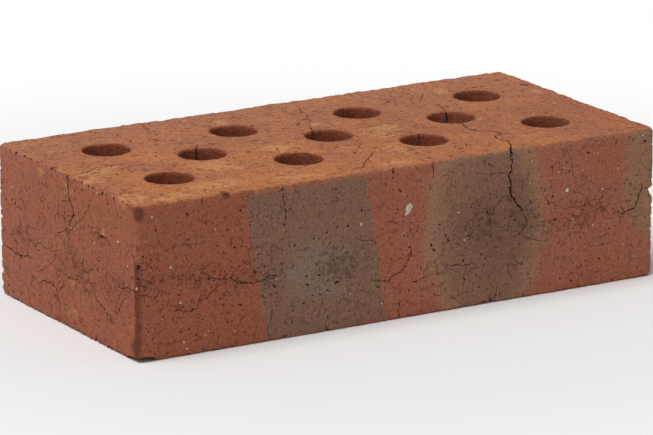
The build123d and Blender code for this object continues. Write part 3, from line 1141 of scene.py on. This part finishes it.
def fired_red_clay():
    """Clay fired hard: matt and gritty, brick red where the die pressed it, grey-brown where the kiln
    marked it, sandy orange on the beds, where the wire tore it open, and pitted and crazed all over."""
    material, tree, shader, place = new_material("fired_red_clay", 0.92)
    wander = add(tree, "TexNoise", {"Vector": place, "Scale": 1 / 7, "Detail": 4})[0]
    wander = add(tree, "Math", {0: wander, 1: 0.5}, operation="SUBTRACT")[0]
    broad = add(tree, "TexNoise", {"Vector": place, "Scale": 1 / 22, "Detail": 3})[0]
    cloud = add(tree, "TexNoise", {"Vector": place, "Scale": 1 / 11, "Detail": 4, "Roughness": 0.6})[0]
    mottle = add(tree, "TexNoise", {"Vector": place, "Scale": 1 / 3, "Detail": 4, "Roughness": 0.65})[0]
    # Real grit is finer than this, which is as coarse as it needs to be to show
    grit = add(tree, "TexNoise", {"Vector": place, "Scale": 1 / 1.2, "Detail": 2, "Roughness": 0.8})[0]
    drag = add(tree, "Mapping", {"Vector": place, "Scale": (1 / 1.4, 1 / 1.4, 1 / 16)})[0]
    drag = add(tree, "TexNoise", {"Vector": drag, "Scale": 1, "Detail": 2})[0]

    # Zones: the beds, by the way that they face, and the holes' walls, which get painted shade
    facing = add(tree, "TexCoord", {})["Normal"]
    facing = add(tree, "SeparateXYZ", {0: facing})["Z"]
    facing = add(tree, "Math", {0: facing}, operation="ABSOLUTE")[0]
    facing = add(tree, "Math", {0: wander, 1: 0.8, 2: facing}, operation="MULTIPLY_ADD")[0]
    bed = add(tree, "MapRange", {"Value": facing, "From Min": 0.6, "From Max": 0.85}, **SMOOTH)[0]
    hole_wall_shade = add(tree, "Attribute", {}, attribute_name="hole_wall_shade")["Fac"]

    # Skin: red with lighter, drier clouds, dusty ones too, then the marks, the beds, and painted shade on
    # the holes' walls
    skin = add(tree, "Mix", {0: broad, 6: linear("#965743"), 7: linear("#a5654d")}, data_type="RGBA")[2]
    dusty = add(tree, "MapRange", {"Value": cloud, "From Min": 0.45, "From Max": 0.7}, **SMOOTH)[0]
    skin = tinted(tree, skin, dusty, 0.45, "#996557")
    where = add(tree, "SeparateXYZ", {0: place})
    deep_red = add(tree, "MapRange", {"Value": where["X"], "From Min": -30, "From Max": -80}, **SMOOTH)[0]
    near_front = add(tree, "MapRange", {"Value": where["Y"], "From Min": 60, "From Max": -10})[0]
    deep_red = add(tree, "Math", {0: deep_red, 1: near_front}, operation="MULTIPLY")[0]
    skin = tinted(tree, skin, deep_red, 0.65, "#95553c")
    skin = kiln_marked(tree, skin, place, wander)
    colour = add(tree, "Mix", {0: bed, 6: skin, 7: torn_bed(tree, place, broad)}, data_type="RGBA")[2]
    # Painted shade: the holes' walls and the rims of their mouths darkened to a deep red
    colour = tinted(tree, colour, hole_wall_shade, 1, "#85472f")

    # Sandy dust in spots and the dark scuffed edge, both broken up at their edges
    dust = broken_up(tree, "sandy_dust", ((mottle, 1.2), (grit, 0.8)), 1.15, 2.1)
    colour = tinted(tree, colour, dust, 0.5, "#c48c5e")
    scuff = broken_up(tree, "scuffed", ((mottle, 1.2), (grit, 1)), 1.4, 2)
    colour = tinted(tree, colour, scuff, 0.85, "#5f3122")
    torn_there = broken_up(tree, "torn", ((mottle, 1.8),), 1.3, 2.1)

    # Mottling, grit and drag lines, and a darker tone where the skin is torn
    tone = 0.05
    for pattern, strength in ((mottle, 0.5), (grit, 1.3), (drag, 0.15), (torn_there, -0.1)):
        tone = add(tree, "Math", {0: pattern, 1: strength, 2: tone}, operation="MULTIPLY_ADD")[0]
    colour = add(tree, "VectorMath", {0: colour, "Scale": tone}, operation="SCALE")[0]

    # Scars and pinholes in the skin, tears on the beds, dark partly in their clay and partly as painted
    # shadow, flakes on the beds, pale as painted highlight, crazing, and burnt and pale grit
    torn = add(tree, "Attribute", {}, attribute_name="torn")["Fac"]
    in_skin = add(tree, "Math", {0: 1, 1: bed}, operation="SUBTRACT")[0]
    scars = add(tree, "TexNoise", {"Vector": place, "Scale": 1 / 2.6, "Detail": 4, "Roughness": 0.75})[0]
    scars = add(tree, "Math", {0: cloud, 1: 0.45, 2: scars}, operation="MULTIPLY_ADD")[0]
    scars = add(tree, "Math", {0: torn, 1: 0.08, 2: scars}, operation="MULTIPLY_ADD")[0]
    scars = add(tree, "MapRange", {"Value": scars, "From Min": 0.85, "From Max": 0.92})[0]
    scars = add(tree, "Math", {0: scars, 1: in_skin}, operation="MULTIPLY")[0]
    share = add(tree, "Math", {0: torn, 1: 0.5, 2: 0.28}, operation="MULTIPLY_ADD")[0]
    pinholes = specks(tree, place, 1.7, 1, share)
    # Tears: pits in the torn beds, darker clay with painted shadow. Flakes: raised bits of the beds,
    # lightened as painted highlight
    bed_tears_and_shadow = add(tree, "TexNoise", {"Vector": place, "Scale": 1 / 3.4, "Detail": 5, "Roughness": 0.8})[0]
    flake_highlights = add(tree, "MapRange", {"Value": bed_tears_and_shadow, "From Min": 0.41, "From Max": 0.35})[0]
    flake_highlights = add(tree, "Math", {0: flake_highlights, 1: bed}, operation="MULTIPLY")[0]
    bed_tears_and_shadow = add(tree, "MapRange", {"Value": bed_tears_and_shadow, "From Min": 0.58, "From Max": 0.66})[0]
    bed_tears_and_shadow = add(tree, "Math", {0: bed_tears_and_shadow, 1: bed}, operation="MULTIPLY")[0]
    crazed = add(tree, "Attribute", {}, attribute_name="crazed")["Fac"]
    lines = hairlines(tree, place, 10, 0.32, crazed)
    for flaw, strength, shade in (
        (scars, 0.4, "#6b3829"), (pinholes, 0.7, "#5a2d20"), (bed_tears_and_shadow, 0.5, "#6f3c28"),
        (flake_highlights, 0.45, "#d0a07c"), (lines, 0.45, "#4c281d"),
        (specks(tree, place, 5, 0.9, 0.25), 0.7, "#3c3230"),
        (specks(tree, place, 2.2, 0.9, 0.35), 0.5, "#c09472"),
    ):
        colour = tinted(tree, colour, flaw, strength, shade)
    tree.links.new(colour, shader.inputs["Base Color"])

    # Relief finer than the mesh
    rise = add(tree, "Math", {0: mottle, 1: 0.8, 2: grit}, operation="MULTIPLY_ADD")[0]
    for flaw, depth in ((lines, 0.6), (pinholes, 0.6), (bed_tears_and_shadow, 0.9), (scars, 0.9)):
        rise = add(tree, "Math", {0: flaw, 1: -depth, 2: rise}, operation="MULTIPLY_ADD")[0]
    bump = add(tree, "Bump", {"Height": rise, "Strength": 0.9, "Distance": 0.4 * MM})[0]
    tree.links.new(bump, shader.inputs["Normal"])
    return material


def plain_clay(name, dark, light, size):
    """Clay that damage bares, or a grain in it: matt, two tones in a pattern of a size in millimetres."""
    material, tree, shader, place = new_material(name, 0.95)
    noise = add(tree, "TexNoise", {"Vector": place, "Scale": 1 / size, "Detail": 4, "Roughness": 0.65})[0]
    share = add(tree, "MapRange", {"Value": noise, "From Min": 0.3, "From Max": 0.7})[0]
    colour = add(tree, "Mix", {0: share, 6: linear(dark), 7: linear(light)}, data_type="RGBA")[2]
    tree.links.new(colour, shader.inputs["Base Color"])
    bump = add(tree, "Bump", {"Height": noise, "Strength": 0.6, "Distance": 0.3 * MM})[0]
    tree.links.new(bump, shader.inputs["Normal"])
    return material


def backdrop_rays(tree):
    """1 for the rays that show a backdrop: those from the camera, from gloss and through glass."""
    path = add(tree, "LightPath", {})
    shown = path["Is Camera Ray"]
    for kind in ("Is Glossy Ray", "Is Transmission Ray"):
        shown = add(tree, "Math", {0: shown, 1: path[kind]}, operation="MAXIMUM")[0]
    return shown


def white_paper():
    """A white sweep: matt paper that takes the shadow near the brick, and plain white further out."""
    material, tree, shader, place = new_material("white_paper", 1)
    shader.inputs["Base Color"].default_value = linear("#ededed")
    reach = add(tree, "VectorMath", {0: place}, operation="LENGTH")["Value"]
    far = add(tree, "MapRange", {"Value": reach, "From Min": 150, "From Max": 420}, **SMOOTH)[0]
    far = add(tree, "Math", {0: far, 1: backdrop_rays(tree)}, operation="MULTIPLY")[0]
    glow = add(tree, "Emission", {"Color": linear("#ffffff"), "Strength": 1})[0]
    mixed = add(tree, "MixShader", {0: far, 1: shader.outputs[0], 2: glow})[0]
    tree.links.new(mixed, tree.nodes["Material Output"].inputs["Surface"])
    return material


SHARPEST_SMOOTH_EDGE = math.radians(40)

materials = (
    fired_red_clay(),
    # Broken open after firing: darker and browner than the skin, like the torn beds
    plain_clay("broken_clay", "#663728", "#925841", 2),
    # The sides of a cleft, which see hardly any sky: a near black brown
    plain_clay("crack_shadow_clay", "#2c1610", "#4a281d", 1.5),
    # Pits that lost their grain: dark brown in their own shade, some of them redder
    plain_clay("pit_shadow_clay", "#3c221a", "#70402f", 4),
    # Lime and quartz that didn't melt: chalky cream to grey-brown, each grain nearly of one tone
    plain_clay("lime_grain", "#ab8d75", "#e4d8c6", 5),
)

brick = shape_block(materials)
roughen(brick)
damage_draw = random.Random(DAMAGE_SEED)
chip(brick, materials, damage_draw)
pit(brick, materials, damage_draw)
crack(brick, materials)
brick = without_crumbs(brick)
mark_dust_and_scuffs(brick)
only(brick)
bpy.ops.object.shade_smooth_by_angle(angle=SHARPEST_SMOOTH_EDGE)

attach(brick, "root")
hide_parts("clay_brick")

# Floor, light and camera

FLOOR_SIZE = 12
FLOOR_GAP = 0.05 * MM
SKY_LEVEL = 0.37
KEY_PLACE = Vector((-2.5, -0.5, 5.8))
KEY_AIM = Vector((0, 0, 0.03))
KEY_SIZE = 3.6
KEY_POWER = 296

bpy.ops.object.select_all(action="DESELECT")
bpy.ops.mesh.primitive_plane_add(size=FLOOR_SIZE, location=(0, 0, LOW.z - FLOOR_GAP))
floor = bpy.context.object
floor.name = "floor"
floor.data.materials.append(white_paper())

# The world lights the brick softly, and the camera sees it as white
world = bpy.data.worlds.new("studio")
bpy.context.scene.world = world
world.use_nodes = True
sky = world.node_tree.nodes["Background"]
level = add(
    world.node_tree, "MapRange",
    {"Value": backdrop_rays(world.node_tree), "To Min": SKY_LEVEL, "To Max": 1},
)[0]
sky.inputs["Color"].default_value = linear("#ffffff")
world.node_tree.links.new(level, sky.inputs["Strength"])

# One softbox, high on the left
softbox = bpy.data.lights.new("key_softbox", "AREA")
softbox.size = KEY_SIZE
softbox.energy = KEY_POWER
lamp = bpy.data.objects.new("key_softbox", softbox)
lamp.location = KEY_PLACE
lamp.rotation_euler = (KEY_AIM - KEY_PLACE).to_track_quat("-Z", "Y").to_euler()
bpy.context.collection.objects.link(lamp)

# The photograph's viewpoint, fitted to the brick's edges and holes
FRAME_WIDTH = 653
VIEW_AZIMUTH = math.radians(-31.03)
VIEW_ELEVATION = math.radians(15.29)
VIEW_DISTANCE = 1973 * MM
VIEW_ACROSS = -0.85 * MM
VIEW_UP = -3.28 * MM
FOCAL_PIXELS = 4673

back = Vector((
    math.sin(VIEW_AZIMUTH) * math.cos(VIEW_ELEVATION),
    -math.cos(VIEW_AZIMUTH) * math.cos(VIEW_ELEVATION),
    math.sin(VIEW_ELEVATION),
))
across = Vector((math.cos(VIEW_AZIMUTH), math.sin(VIEW_AZIMUTH), 0))
upward = back.cross(across)
lens = bpy.data.cameras.new("camera")
lens.sensor_fit = "HORIZONTAL"
lens.lens = lens.sensor_width * FOCAL_PIXELS / FRAME_WIDTH
camera = bpy.data.objects.new("camera", lens)
camera.location = (LOW + HIGH) / 2 + back * VIEW_DISTANCE + across * VIEW_ACROSS + upward * VIEW_UP
camera.rotation_euler = (-back).to_track_quat("-Z", "Y").to_euler()
bpy.context.collection.objects.link(camera)
bpy.context.scene.camera = camera
bpy.context.scene.view_settings.view_transform = "Standard"
